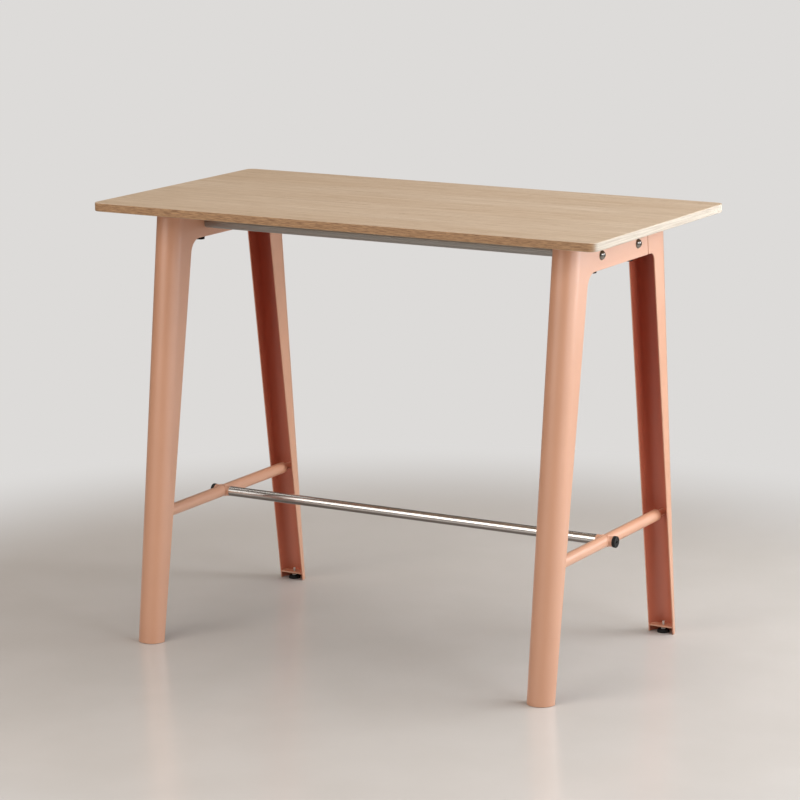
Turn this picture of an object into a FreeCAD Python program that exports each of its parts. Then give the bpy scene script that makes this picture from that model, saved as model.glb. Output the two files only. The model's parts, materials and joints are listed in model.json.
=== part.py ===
"""Standing-height meeting table: an oak board on two folded-sheet trestles.

Frame: origin on the floor under the middle of the board, +X along the
board, +Y towards the back, +Z up. All sizes are in millimetres.

Each trestle is a front leg and a rear leg, folded from steel sheet into a
tapering U with a round nose. The arms of the legs meet at a seam and make
the crosspiece under the board. A channel inside the crosspiece ties the
legs together and carries the bolts of the board. Two rails and a foot rail
run from trestle to trestle, and a stretcher joins the legs of each trestle.
"""

import FreeCAD, Part
import math
import os

V = FreeCAD.Vector

# ---------------------------------------------------------------- board
BOARD_LENGTH = 1300.0
BOARD_WIDTH = 700.0
BOARD_THICKNESS = 20.0
BOARD_HEIGHT = 1050.0            # floor to the upper face
BOARD_CORNER_RADIUS = 20.0
BOARD_ARRIS_RADIUS = 2.0

# ------------------------------------------------------------- trestles
TRESTLE_INSET = 131.0            # board end to the middle plane of a trestle
SHEET = 3.0                      # wall of the folded legs
LEG_WIDTH = 66.0                 # across the two side walls
FLOOR_GAP = 1.0                  # sheet edge above the floor
NOSE_INSET_FLOOR = 26.5          # board side to the nose's centre line, at the floor
NOSE_INSET_HEAD = 139.0          # the same, at the underside of the board
FLANGE_FLOOR = 1.5               # flat part of a side wall, at the floor
FLANGE_HEAD = 49.5               # the same, at the underside of the board
ARM_DEPTH = 79.0                 # height of the crosspiece
FRONT_FILLET = 36.0              # between the long arm and the front leg
REAR_FILLET = 20.0               # between the short arm and the rear leg
SEAM_INSET = 213.0               # board side to the seam, at half the arms' depth
SEAM_GAP = 3.0

# --------------------------------------------------------- head channel
CHANNEL_SHEET = 3.0
CHANNEL_HEIGHT = 22.0
CHANNEL_END_GAP = 21.0           # channel end to the nose's centre line

# ---------------------------------------------- rails under the board
RAIL_DIAMETER = 25.0
RAIL_WALL = 2.0
RAIL_DROP = 46.0                 # rail axis under the board
RAIL_FRONT_Y = -108.0
RAIL_REAR_Y = 84.0
RAIL_PLUG_LENGTH = 30.0
RAIL_BOLT_DIAMETER = 10.0
RAIL_BOLT_GRIP = 20.0            # thread inside the plug
RAIL_HEAD_DIAMETER = 23.0
RAIL_HEAD_HEIGHT = 9.0
RAIL_HEAD_SOCKET = 6.0           # across flats
RAIL_HEAD_SOCKET_DEPTH = 4.0
SLEEVE_WALL = 3.0

# --------------------------------------------------- bolts of the board
TOP_BOLT_SETBACK = 21.0          # behind the axis of the rail in front of it
TOP_BOLT_DIAMETER = 10.0
TOP_BOLT_GRIP = 11.0             # thread inside the insert
TOP_BOLT_HEAD_DIAMETER = 20.0
TOP_BOLT_HEAD_HEIGHT = 13.0
TOP_BOLT_HEAD_CHAMFER = 1.5
TOP_BOLT_SOCKET = 8.0            # across flats
TOP_BOLT_SOCKET_DEPTH = 6.0
INSERT_WALL = 2.5
INSERT_LENGTH = 13.0
INSERT_HOLE_SPARE = 1.0          # hole deeper than the insert

# ------------------------------------------------------------ stretchers
STRETCHER_Z = 302.0
STRETCHER_DIAMETER = 28.0
STRETCHER_WALL = 2.0
STRETCHER_END_GAP = 10.5         # tube end to the nose's centre line
STUB_DIAMETER = 16.0             # bar from the tube end to the nose
STUB_OVERLAP = 20.0              # part of the stub inside its collar
BOSS_DIAMETER = 25.0
BOSS_LENGTH = 42.0

# ------------------------------------------------------------- foot rail
FOOT_RAIL_DIAMETER = 24.0
FOOT_RAIL_WALL = 2.0
FOOT_PLUG_LENGTH = 26.0
FOOT_SCREW_DIAMETER = 8.0
FOOT_SCREW_GRIP = 16.0
FOOT_CAP_DIAMETER = 27.0
FOOT_CAP_HEIGHT = 8.5
FOOT_CAP_CHAMFER = 1.2
FOOT_CAP_SOCKET = 6.0            # across flats
FOOT_CAP_SOCKET_DEPTH = 4.0

# -------------------------------------------------------- levelling feet
FOOT_SET_OUT = 12.75             # nose's centre line to the axis of the foot
FOOT_PLATE_Z = 16.0              # underside of the plate
FOOT_PLATE_THICKNESS = 3.0
STUD_DIAMETER = 6.0
STUD_TOP = 27.5
STUD_COLLAR_WIDTH = 10.0         # across flats
STUD_COLLAR_HEIGHT = 2.6
STUD_DISC_DIAMETER = 13.0        # held inside the pad
STUD_DISC_HEIGHT = 2.0
STUD_SLOT_WIDTH = 1.0
STUD_SLOT_DEPTH = 1.5
NUT_WIDTH = 10.0                 # across flats
NUT_HEIGHT = 5.0
PAD_DIAMETER = 30.0
PAD_HEIGHT = 8.0
PAD_TOP_DIAMETER = 24.0
PAD_RIM_HEIGHT = 4.5

# ------------------------------------------------------------ clearances
SEAT_GAP = 0.1                   # between welded or pressed pieces
HOLE_GAP = 0.5                   # around a bolt in a plain hole, on radius
RUN_GAP = 0.08                   # around a turning thread, on radius
PAD_GAP = 0.3                    # around the disc of the stud in its pad
COLLAR_GAP = 0.1                 # between the collar of the stud and its pad

# --------------------------------------------------------- derived sizes
HEAD_Z = BOARD_HEIGHT - BOARD_THICKNESS
ARM_Z = HEAD_Z - ARM_DEPTH
RAIL_Z = HEAD_Z - RAIL_DROP
RAIL_YS = {"front": RAIL_FRONT_Y, "rear": RAIL_REAR_Y}
TRESTLE_X = BOARD_LENGTH / 2 - TRESTLE_INSET
NOSE_REACH_FLOOR = BOARD_WIDTH / 2 - NOSE_INSET_FLOOR
NOSE_REACH_HEAD = BOARD_WIDTH / 2 - NOSE_INSET_HEAD
NOSE_SLOPE = (NOSE_REACH_FLOOR - NOSE_REACH_HEAD) / HEAD_Z
FREE_EDGE_SLOPE = NOSE_SLOPE + (FLANGE_HEAD - FLANGE_FLOOR) / HEAD_Z
LEG_OUTER = LEG_WIDTH / 2
LEG_INNER = LEG_OUTER - SHEET
SEAM_Y = BOARD_WIDTH / 2 - SEAM_INSET
SEAM_MID_Z = ARM_Z + ARM_DEPTH / 2
CHANNEL_HALF_LENGTH = NOSE_REACH_HEAD - CHANNEL_END_GAP
STRETCHER_HALF_LENGTH = NOSE_REACH_FLOOR - NOSE_SLOPE * STRETCHER_Z - STRETCHER_END_GAP
FOOT_AXIS_REACH = NOSE_REACH_FLOOR - NOSE_SLOPE * FOOT_PLATE_Z + FOOT_SET_OUT
TOP_BOLT_YS = [y + TOP_BOLT_SETBACK for y in RAIL_YS.values()]
FREE_LENGTH = 2 * BOARD_LENGTH   # longer than anything it trims

SIDES = {"left": -1.0, "right": 1.0}
ENDS = {"front": -1.0, "rear": 1.0}


# ------------------------------------------------------- general shapes
def cylinder(radius, start, end):
    """Round bar from one point to another."""
    return Part.makeCylinder(radius, (end - start).Length, start, end - start)


def tube(outer_radius, wall, start, end):
    """Round tube from one point to another."""
    bore = cylinder(outer_radius - wall, start, end)
    return cylinder(outer_radius, start, end).cut(bore)


def hexagon(across_flats, start, end):
    """Hexagonal bar from one point to another."""
    axis = end - start
    flat = Part.makePolygon([
        V(across_flats / math.sqrt(3) * math.cos(math.radians(60 * k)),
          across_flats / math.sqrt(3) * math.sin(math.radians(60 * k)), 0)
        for k in range(7)])
    bar = Part.Face(flat).extrude(V(0, 0, axis.Length))
    bar.Placement = FreeCAD.Placement(start, FreeCAD.Rotation(V(0, 0, 1), axis))
    return bar


def revolved(outline, start, axis):
    """Solid turned about an axis from (radius, height) points."""
    wire = Part.makePolygon([V(r, 0, h) for r, h in outline + outline[:1]])
    solid = Part.Face(wire).revolve(V(0, 0, 0), V(0, 0, 1), 360)
    solid.Placement = FreeCAD.Placement(start, FreeCAD.Rotation(V(0, 0, 1), axis))
    return solid


def on_trestle(shape, side):
    """Shape modelled about the trestle's middle plane, put on its side."""
    moved = shape.copy()
    if side < 0:
        moved = moved.mirror(V(0, 0, 0), V(1, 0, 0))
    moved.translate(V(side * TRESTLE_X, 0, 0))
    return moved


def turned_end(shape, end):
    """Shape modelled towards the rear, mirrored for the front."""
    return shape.mirror(V(0, 0, 0), V(0, 1, 0)) if end < 0 else shape


def level(edge):
    """Whether an edge runs level."""
    return round(edge.Vertexes[-1].Z - edge.Vertexes[0].Z) == 0


def write(name, shapes):
    """One STEP file for one node, from one solid or a group of them."""
    solids = [solid for shape in shapes for solid in shape.Solids]
    shape = solids[0] if len(solids) == 1 else Part.makeCompound(solids)
    shape.exportStep(os.path.join("parts", name + ".step"))


# ------------------------------------------------------------ lean lines
def nose_y(z):
    """Centre line of the nose: how far out it is at a height."""
    return NOSE_REACH_FLOOR - NOSE_SLOPE * z


def free_edge_y(z):
    """Free edge of a side wall: how far out it is at a height."""
    return NOSE_REACH_FLOOR - FLANGE_FLOOR - FREE_EDGE_SLOPE * z


def seam_y(z):
    """Middle of the seam, parallel to the nose of the rear leg."""
    return SEAM_Y - NOSE_SLOPE * (z - SEAM_MID_Z)


# ------------------------------------------------------------------ legs
def leaning_u(outer, inner):
    """U with a round nose, drawn square to the lean and run up the leg.

    With inner = 0 it is the solid filling of that U.
    """
    up = V(0, -NOSE_SLOPE, 1).normalize()
    out = V(0, 1, NOSE_SLOPE).normalize()
    foot = V(0, nose_y(0), 0) - up * BOARD_WIDTH
    side = V(1, 0, 0)
    back = out * FREE_LENGTH

    def bent(radius):
        return [Part.LineSegment(foot + side * radius - back, foot + side * radius),
                Part.Arc(foot + side * radius, foot + out * radius, foot - side * radius),
                Part.LineSegment(foot - side * radius, foot - side * radius - back)]

    def face(radius):
        close = Part.LineSegment(foot - side * radius - back, foot + side * radius - back)
        return Part.Face(Part.Wire([c.toShape() for c in bent(radius) + [close]]))

    section = face(outer).cut(face(inner)) if inner else face(outer)
    return section.extrude(up * (BOARD_HEIGHT + 2 * BOARD_WIDTH))


def leg_outline(arm_end, fillet):
    """Side view of a leg that leans towards +Y at its foot.

    arm_end(z) gives the end of its arm. The outline runs past the nose,
    which the U itself shapes.
    """
    corner_y = free_edge_y(ARM_Z)
    normal = math.hypot(1, FREE_EDGE_SLOPE)
    centre_z = ARM_Z - fillet
    centre_y = free_edge_y(centre_z) - fillet * normal
    edge = V(0, 1, FREE_EDGE_SLOPE).normalize()
    crown = V(0, centre_y, ARM_Z)
    centre = V(0, centre_y, centre_z)
    middle = (V(0, 0, 1) + edge).normalize()
    tangent = centre + edge * fillet
    far_y = corner_y + BOARD_WIDTH
    foot = V(0, free_edge_y(FLOOR_GAP), FLOOR_GAP)
    corners = [tangent, foot, V(0, far_y, FLOOR_GAP), V(0, far_y, HEAD_Z),
               V(0, arm_end(HEAD_Z), HEAD_Z), V(0, arm_end(ARM_Z), ARM_Z), crown]
    edges = [Part.LineSegment(a, b).toShape() for a, b in zip(corners, corners[1:])]
    edges.append(Part.Arc(crown, centre + middle * fillet, tangent).toShape())
    return Part.Face(Part.Wire(edges))


def folded_leg(arm_end, fillet):
    """Leg and arms in one folded sheet, about the trestle's middle plane."""
    outline = leg_outline(arm_end, fillet)
    outline.translate(V(-LEG_WIDTH, 0, 0))
    return leaning_u(LEG_OUTER, LEG_INNER).common(outline.extrude(V(2 * LEG_WIDTH, 0, 0)))


def front_leg():
    """Leg with the long arms, drilled for the bolts of both rails."""
    leg = folded_leg(lambda z: SEAM_GAP / 2 - seam_y(z), FRONT_FILLET)
    leg = turned_end(leg, ENDS["front"])
    for y in RAIL_YS.values():
        hole = cylinder(RAIL_BOLT_DIAMETER / 2 + HOLE_GAP,
                        V(-LEG_WIDTH, y, RAIL_Z), V(LEG_WIDTH, y, RAIL_Z))
        leg = leg.cut(hole)
    return leg


def rear_leg():
    """Leg with the short arms."""
    return folded_leg(lambda z: seam_y(z) + SEAM_GAP / 2, REAR_FILLET)


def leg_filling(gap):
    """What a leg can hold between its walls, with a gap to them."""
    return leaning_u(LEG_INNER - gap, 0)


# --------------------------------------------------------- head channels
def head_channel():
    """Channel inside the crosspiece, open upwards, across the seam."""
    half = LEG_INNER - SEAT_GAP
    web_top = ARM_Z + CHANNEL_SHEET
    rim = ARM_Z + CHANNEL_HEIGHT
    inner = half - CHANNEL_SHEET
    section = Part.makePolygon([
        V(-half, 0, rim), V(-half, 0, ARM_Z), V(half, 0, ARM_Z), V(half, 0, rim),
        V(inner, 0, rim), V(inner, 0, web_top), V(-inner, 0, web_top),
        V(-inner, 0, rim), V(-half, 0, rim)])
    face = Part.Face(section)
    face.translate(V(0, -CHANNEL_HALF_LENGTH, 0))
    channel = face.extrude(V(0, 2 * CHANNEL_HALF_LENGTH, 0))
    for y in TOP_BOLT_YS:
        hole = cylinder(TOP_BOLT_DIAMETER / 2 + HOLE_GAP, V(0, y, ARM_Z), V(0, y, web_top))
        channel = channel.cut(hole)
    return channel


# ----------------------------------------------------------------- rails
def rail(y):
    """Rail between the inner faces of the trestles."""
    reach = TRESTLE_X - LEG_OUTER
    return tube(RAIL_DIAMETER / 2, RAIL_WALL, V(-reach, y, RAIL_Z), V(reach, y, RAIL_Z))


def rail_plug(y):
    """Threaded plug in the end of a rail."""
    start = V(-LEG_OUTER, y, RAIL_Z)
    end = start - V(RAIL_PLUG_LENGTH, 0, 0)
    radius = RAIL_DIAMETER / 2 - RAIL_WALL - SEAT_GAP
    thread = cylinder(RAIL_BOLT_DIAMETER / 2 + SEAT_GAP, start, end)
    return cylinder(radius, start, end).cut(thread)


def rail_bolt(y):
    """Domed bolt through the crosspiece into the plug of the rail."""
    seat = V(LEG_OUTER, y, RAIL_Z)
    outward = V(1, 0, 0)
    base = RAIL_HEAD_DIAMETER / 2
    dome = (base ** 2 + RAIL_HEAD_HEIGHT ** 2) / (2 * RAIL_HEAD_HEIGHT)
    centre = seat + outward * (RAIL_HEAD_HEIGHT - dome)
    crown = seat + outward * RAIL_HEAD_HEIGHT
    head = Part.makeSphere(dome, centre).common(cylinder(dome, seat, crown))
    socket = hexagon(RAIL_HEAD_SOCKET, crown - outward * RAIL_HEAD_SOCKET_DEPTH, crown)
    tip = V(-LEG_OUTER - RAIL_BOLT_GRIP, y, RAIL_Z)
    return head.cut(socket).fuse(cylinder(RAIL_BOLT_DIAMETER / 2, tip, seat)).removeSplitter()


def rail_bolt_sleeve(y):
    """Sleeve on a rail bolt that keeps the walls of the crosspiece apart."""
    outer = RAIL_BOLT_DIAMETER / 2 + HOLE_GAP + SLEEVE_WALL
    half = LEG_INNER - SEAT_GAP
    return tube(outer, SLEEVE_WALL, V(-half, y, RAIL_Z), V(half, y, RAIL_Z))


# ------------------------------------------------------------- the board
def insert_hole(y, spare, radius_gap):
    """Space of an insert in the underside of the board, on the trestle."""
    radius = TOP_BOLT_DIAMETER / 2 + SEAT_GAP + INSERT_WALL + radius_gap
    return cylinder(radius, V(0, y, HEAD_Z), V(0, y, HEAD_Z + INSERT_LENGTH + spare))


def board():
    """Oak board with rounded corners, eased edges and insert holes."""
    slab = Part.makeBox(BOARD_LENGTH, BOARD_WIDTH, BOARD_THICKNESS,
                        V(-BOARD_LENGTH / 2, -BOARD_WIDTH / 2, HEAD_Z))
    corners = [e for e in slab.Edges if not level(e)]
    slab = slab.makeFillet(BOARD_CORNER_RADIUS, corners)
    rims = [e for e in slab.Edges if level(e)]
    slab = slab.makeFillet(BOARD_ARRIS_RADIUS, rims)
    for side in SIDES.values():
        for y in TOP_BOLT_YS:
            hole = insert_hole(y, INSERT_HOLE_SPARE, SEAT_GAP)
            slab = slab.cut(on_trestle(hole, side))
    return slab


def top_insert(y):
    """Threaded insert in the underside of the board."""
    thread = cylinder(TOP_BOLT_DIAMETER / 2 + SEAT_GAP,
                      V(0, y, HEAD_Z), V(0, y, HEAD_Z + INSERT_LENGTH))
    return insert_hole(y, 0, 0).cut(thread)


def top_bolt(y):
    """Cap-head bolt from under the crosspiece up into the board."""
    head_radius = TOP_BOLT_HEAD_DIAMETER / 2
    start = V(0, y, ARM_Z - TOP_BOLT_HEAD_HEIGHT)
    seat = V(0, y, ARM_Z)
    head = cylinder(head_radius, start, seat)
    rims = [e for e in head.Edges if e.Closed and round(seat.z - e.CenterOfMass.z) > 0]
    head = head.makeChamfer(TOP_BOLT_HEAD_CHAMFER, rims)
    head = head.cut(hexagon(TOP_BOLT_SOCKET, start, start + V(0, 0, TOP_BOLT_SOCKET_DEPTH)))
    shank = cylinder(TOP_BOLT_DIAMETER / 2, seat, V(0, y, HEAD_Z + TOP_BOLT_GRIP))
    return head.fuse(shank).removeSplitter()


def top_spacer(y):
    """Tube on a board bolt, from the channel up to the board."""
    outer = TOP_BOLT_DIAMETER / 2 + HOLE_GAP + SLEEVE_WALL
    return tube(outer, SLEEVE_WALL, V(0, y, ARM_Z + CHANNEL_SHEET), V(0, y, HEAD_Z))


# ------------------------------------------------------------ stretchers
def stretcher():
    """Tube between the legs of a trestle, holed for its boss."""
    end = V(0, STRETCHER_HALF_LENGTH, STRETCHER_Z)
    start = V(0, -STRETCHER_HALF_LENGTH, STRETCHER_Z)
    cross = V(LEG_WIDTH, 0, STRETCHER_Z)
    hole = cylinder(BOSS_DIAMETER / 2 + SEAT_GAP, cross - V(2 * LEG_WIDTH, 0, 0), cross)
    return tube(STRETCHER_DIAMETER / 2, STRETCHER_WALL, start, end).cut(hole)


def stretcher_stub():
    """Bar from the rear end of a stretcher to the inside of the nose.

    A collar fills the bore of the tube. The other end is coped to the
    round wall of the leg.
    """
    tube_end = V(0, STRETCHER_HALF_LENGTH, STRETCHER_Z)
    inside = tube_end - V(0, STUB_OVERLAP, 0)
    past = V(0, nose_y(0) + LEG_WIDTH, STRETCHER_Z)
    collar = cylinder(STRETCHER_DIAMETER / 2 - STRETCHER_WALL - SEAT_GAP, inside, tube_end)
    bar = cylinder(STUB_DIAMETER / 2, inside, past).common(leg_filling(SEAT_GAP))
    return collar.fuse(bar).removeSplitter()


def stretcher_boss():
    """Cross boss in the middle of a stretcher, where the foot rail butts."""
    half = V(BOSS_LENGTH / 2, 0, 0)
    middle = V(0, 0, STRETCHER_Z)
    bore = FOOT_SCREW_DIAMETER / 2 + HOLE_GAP
    return tube(BOSS_DIAMETER / 2, BOSS_DIAMETER / 2 - bore, middle - half, middle + half)


# ------------------------------------------------------------- foot rail
def foot_rail():
    """Long tube between the bosses of the two stretchers."""
    reach = V(TRESTLE_X - BOSS_LENGTH / 2, 0, 0)
    middle = V(0, 0, STRETCHER_Z)
    return tube(FOOT_RAIL_DIAMETER / 2, FOOT_RAIL_WALL, middle - reach, middle + reach)


def foot_rail_plug():
    """Threaded plug in the end of the foot rail."""
    start = V(-BOSS_LENGTH / 2, 0, STRETCHER_Z)
    end = start - V(FOOT_PLUG_LENGTH, 0, 0)
    radius = FOOT_RAIL_DIAMETER / 2 - FOOT_RAIL_WALL - SEAT_GAP
    thread = cylinder(FOOT_SCREW_DIAMETER / 2 + SEAT_GAP, start, end)
    return cylinder(radius, start, end).cut(thread)


def foot_rail_screw():
    """Screw with a broad cap, through the boss into the plug."""
    seat = V(BOSS_LENGTH / 2, 0, STRETCHER_Z)
    crown = seat + V(FOOT_CAP_HEIGHT, 0, 0)
    cap = cylinder(FOOT_CAP_DIAMETER / 2, seat, crown)
    rims = [e for e in cap.Edges if e.Closed]
    cap = cap.makeChamfer(FOOT_CAP_CHAMFER, rims)
    cap = cap.cut(hexagon(FOOT_CAP_SOCKET, crown - V(FOOT_CAP_SOCKET_DEPTH, 0, 0), crown))
    tip = V(-BOSS_LENGTH / 2 - FOOT_SCREW_GRIP, 0, STRETCHER_Z)
    return cap.fuse(cylinder(FOOT_SCREW_DIAMETER / 2, tip, seat)).removeSplitter()


# -------------------------------------------------------- levelling feet
def foot_plate():
    """Plate welded inside the foot of a rear leg."""
    front_y = free_edge_y(FOOT_PLATE_Z)
    slab = Part.makeBox(LEG_WIDTH, LEG_WIDTH, FOOT_PLATE_THICKNESS,
                        V(-LEG_OUTER, front_y, FOOT_PLATE_Z))
    hole = cylinder(STUD_DIAMETER / 2 + HOLE_GAP, V(0, FOOT_AXIS_REACH, FOOT_PLATE_Z),
                    V(0, FOOT_AXIS_REACH, FOOT_PLATE_Z + FOOT_PLATE_THICKNESS))
    return slab.common(leg_filling(SEAT_GAP)).cut(hole)


def foot_nut():
    """Nut welded under the plate, in which the stud turns."""
    top = V(0, FOOT_AXIS_REACH, FOOT_PLATE_Z)
    bottom = top - V(0, 0, NUT_HEIGHT)
    thread = cylinder(STUD_DIAMETER / 2 + RUN_GAP, bottom, top)
    return hexagon(NUT_WIDTH, bottom, top).cut(thread)


def foot_stud():
    """Stud with a hexagon collar, and a disc that the pad holds."""
    axis = V(0, FOOT_AXIS_REACH, 0)
    collar_z = PAD_HEIGHT + COLLAR_GAP
    disc_z = PAD_HEIGHT / 2 - STUD_DISC_HEIGHT
    disc = cylinder(STUD_DISC_DIAMETER / 2, axis + V(0, 0, disc_z),
                    axis + V(0, 0, disc_z + STUD_DISC_HEIGHT))
    stem = cylinder(STUD_DIAMETER / 2, axis + V(0, 0, disc_z), axis + V(0, 0, STUD_TOP))
    collar = hexagon(STUD_COLLAR_WIDTH, axis + V(0, 0, collar_z),
                     axis + V(0, 0, collar_z + STUD_COLLAR_HEIGHT))
    slot = Part.makeBox(STUD_DIAMETER, STUD_SLOT_WIDTH, STUD_SLOT_DEPTH,
                        V(-STUD_DIAMETER / 2, FOOT_AXIS_REACH - STUD_SLOT_WIDTH / 2,
                          STUD_TOP - STUD_SLOT_DEPTH))
    return stem.fuse(disc).fuse(collar).cut(slot).removeSplitter()


def foot_pad():
    """Moulded pad with a coned rim, around the disc of its stud."""
    disc_z = PAD_HEIGHT / 2 - STUD_DISC_HEIGHT
    stem = STUD_DIAMETER / 2 + PAD_GAP
    hollow = STUD_DISC_DIAMETER / 2 + PAD_GAP
    floor = disc_z - PAD_GAP
    roof = disc_z + STUD_DISC_HEIGHT + PAD_GAP
    return revolved([(0, 0), (PAD_DIAMETER / 2, 0), (PAD_DIAMETER / 2, PAD_RIM_HEIGHT),
                     (PAD_TOP_DIAMETER / 2, PAD_HEIGHT), (stem, PAD_HEIGHT), (stem, roof),
                     (hollow, roof), (hollow, floor), (0, floor)],
                    V(0, FOOT_AXIS_REACH, 0), V(0, 0, 1))


# ------------------------------------------------------------ the table
def on_both_trestles(shapes):
    """The same pieces on the left and the right trestle."""
    return [on_trestle(shape, side) for side in SIDES.values() for shape in shapes]


def write_trestle(name, side):
    """Legs, channel and stretcher of one trestle."""
    write(name + "_front_leg", [on_trestle(front_leg(), side)])
    write(name + "_rear_leg", [on_trestle(rear_leg(), side)])
    write(name + "_head_channel", [on_trestle(head_channel(), side)])
    write(name + "_stretcher", [on_trestle(stretcher(), side)])
    write(name + "_stretcher_boss", [on_trestle(stretcher_boss(), side)])
    stubs = [on_trestle(turned_end(stretcher_stub(), end), side) for end in ENDS.values()]
    write(name + "_stretcher_stubs", stubs)


def write_foot(name, side, end):
    """Plate, nut, stud and pad of one levelling foot."""
    pieces = {"foot_plate": foot_plate(), "foot_nut": foot_nut(),
              "foot_stud": foot_stud(), "foot_pad": foot_pad()}
    for piece, shape in pieces.items():
        write(name + "_" + piece, [on_trestle(turned_end(shape, end), side)])


def build():
    """Write every node of the table."""
    os.makedirs("parts", exist_ok=True)
    write("tabletop", [board()])
    for side_name, side in SIDES.items():
        write_trestle(side_name, side)
        for end_name, end in ENDS.items():
            write_foot(side_name + "_" + end_name, side, end)
    for name, y in RAIL_YS.items():
        write(name + "_rail", [rail(y)])
    rail_ys = list(RAIL_YS.values())
    write("rail_plugs", on_both_trestles([rail_plug(y) for y in rail_ys]))
    write("rail_bolts", on_both_trestles([rail_bolt(y) for y in rail_ys]))
    write("rail_bolt_sleeves", on_both_trestles([rail_bolt_sleeve(y) for y in rail_ys]))
    write("top_bolts", on_both_trestles([top_bolt(y) for y in TOP_BOLT_YS]))
    write("top_spacers", on_both_trestles([top_spacer(y) for y in TOP_BOLT_YS]))
    write("top_inserts", on_both_trestles([top_insert(y) for y in TOP_BOLT_YS]))
    write("foot_rail", [foot_rail()])
    write("foot_rail_plugs", on_both_trestles([foot_rail_plug()]))
    write("foot_rail_screws", on_both_trestles([foot_rail_screw()]))


build()
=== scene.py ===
# %% [markdown]
# # A standing meeting table
# The table is an oak board on two folded-sheet trestles, with rails between them. Its solids come
# from a CAD model, already in place and in metres. This lesson gives them their finishes and adds
# what CAD leaves plain: screw threads, knurled heads, moulded feet and weld beads.

# %% Load the solid model
import json
import math

import bpy
import numpy as np
from mathutils import Matrix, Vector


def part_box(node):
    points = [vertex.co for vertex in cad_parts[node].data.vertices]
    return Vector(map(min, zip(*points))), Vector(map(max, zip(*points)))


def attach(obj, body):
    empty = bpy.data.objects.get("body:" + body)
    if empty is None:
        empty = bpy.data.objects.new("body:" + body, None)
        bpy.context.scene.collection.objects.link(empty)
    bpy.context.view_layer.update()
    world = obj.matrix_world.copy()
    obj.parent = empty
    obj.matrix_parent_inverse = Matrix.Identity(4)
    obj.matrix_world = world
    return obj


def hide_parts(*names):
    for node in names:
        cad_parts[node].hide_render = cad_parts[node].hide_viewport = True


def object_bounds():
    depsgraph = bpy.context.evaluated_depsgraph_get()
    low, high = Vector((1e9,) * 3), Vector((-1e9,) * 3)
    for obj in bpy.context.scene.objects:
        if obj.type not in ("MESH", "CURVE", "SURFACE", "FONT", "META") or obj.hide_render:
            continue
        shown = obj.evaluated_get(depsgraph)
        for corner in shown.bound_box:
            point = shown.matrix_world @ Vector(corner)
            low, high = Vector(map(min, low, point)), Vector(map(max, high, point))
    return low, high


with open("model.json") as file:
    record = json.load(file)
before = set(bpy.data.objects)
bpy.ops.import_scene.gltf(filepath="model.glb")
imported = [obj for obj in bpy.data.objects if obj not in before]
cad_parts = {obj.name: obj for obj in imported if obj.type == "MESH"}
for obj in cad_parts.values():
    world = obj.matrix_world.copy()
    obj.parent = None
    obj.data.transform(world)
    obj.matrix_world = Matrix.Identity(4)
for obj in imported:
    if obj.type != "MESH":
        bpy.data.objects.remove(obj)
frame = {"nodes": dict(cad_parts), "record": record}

solid_low, solid_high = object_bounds()
print("solid model", [round(b - a, 3) for a, b in zip(solid_low, solid_high)], "m")

# %% [markdown]
# ## The camera and the light
# A long lens from far off keeps upright lines nearly parallel. The camera stands in front of the table
# and beyond its right end, a metre above the board, so the top, the front and the right end all show.
# It could be aimed with a constraint, but a turn worked out from three angles gives the same picture
# in every run.

# %% Camera
PICTURE_PIXELS = 800
FOCAL_PIXELS = 3066.9
SENSOR_WIDTH = 36.0
CAMERA_PLACE = (3.4374, -6.2044, 2.0589)
CAMERA_AZIMUTH = 29.137
CAMERA_ELEVATION = 11.775
CAMERA_ROLL = -0.079

camera = bpy.data.objects.new("camera", bpy.data.cameras.new("camera"))
camera.data.sensor_width = SENSOR_WIDTH
camera.data.lens = FOCAL_PIXELS / PICTURE_PIXELS * SENSOR_WIDTH
turns = [(CAMERA_AZIMUTH, "Z"), (90 - CAMERA_ELEVATION, "X"), (CAMERA_ROLL, "Z")]
camera.matrix_world = Matrix.Translation(CAMERA_PLACE)
for degrees, axis in turns:
    camera.matrix_world = camera.matrix_world @ Matrix.Rotation(math.radians(degrees), 4, axis)
bpy.context.scene.collection.objects.link(camera)
bpy.context.scene.camera = camera
bpy.context.scene.view_settings.view_transform = "Standard"
print("lens", round(camera.data.lens, 1), "mm")

# %% [markdown]
# The light is a room with a window beyond the right end. Four cool lamps stand for the window: one
# high, one low, one close to the table's back right corner and one towards the front. They light the
# end of the board and the right sides of the legs, and throw soft shadows to the left. A very broad
# warm lamp overhead lights the top and the floor, and a weaker one in front keeps the round noses of
# the legs from going dark. One strong lamp could do all this, but it would draw hard edges on satin
# paint.

# %% Lamps
CEILING_TINT = (1.0, 0.955, 0.91)
DAYLIGHT_TINT = (0.87, 0.94, 1.0)
LAMPS = {
    "overhead": {"place": (0.6, 0.8, 5.6), "size": 7.0, "watts": 292.0, "tint": CEILING_TINT},
    "front": {"place": (-1.2, -3.7, 2.6), "size": 3.0, "watts": 85.0, "tint": CEILING_TINT},
    "window": {"place": (2.85, 0.76, 2.76), "size": 1.6, "watts": 36.0, "tint": DAYLIGHT_TINT},
    "low window": {"place": (3.42, 0.92, 1.33), "size": 1.4, "watts": 18.0, "tint": DAYLIGHT_TINT},
    "window corner": {"place": (1.9, 1.3, 1.15), "size": 0.9, "watts": 18.0, "tint": DAYLIGHT_TINT},
    "front window": {"place": (3.27, -0.88, 1.93), "size": 1.6, "watts": 47.0, "tint": DAYLIGHT_TINT},
}
table_middle = (solid_low + solid_high) / 2


def add_lamp(name, place, size, watts, tint):
    """A square lamp that faces the middle of the table."""
    data = bpy.data.lights.new(name, "AREA")
    data.size = size
    data.energy = watts
    data.color = tint
    lamp = bpy.data.objects.new(name, data)
    lamp.location = place
    lamp.rotation_euler = (table_middle - lamp.location).to_track_quat("-Z", "Y").to_euler()
    bpy.context.scene.collection.objects.link(lamp)


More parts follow.
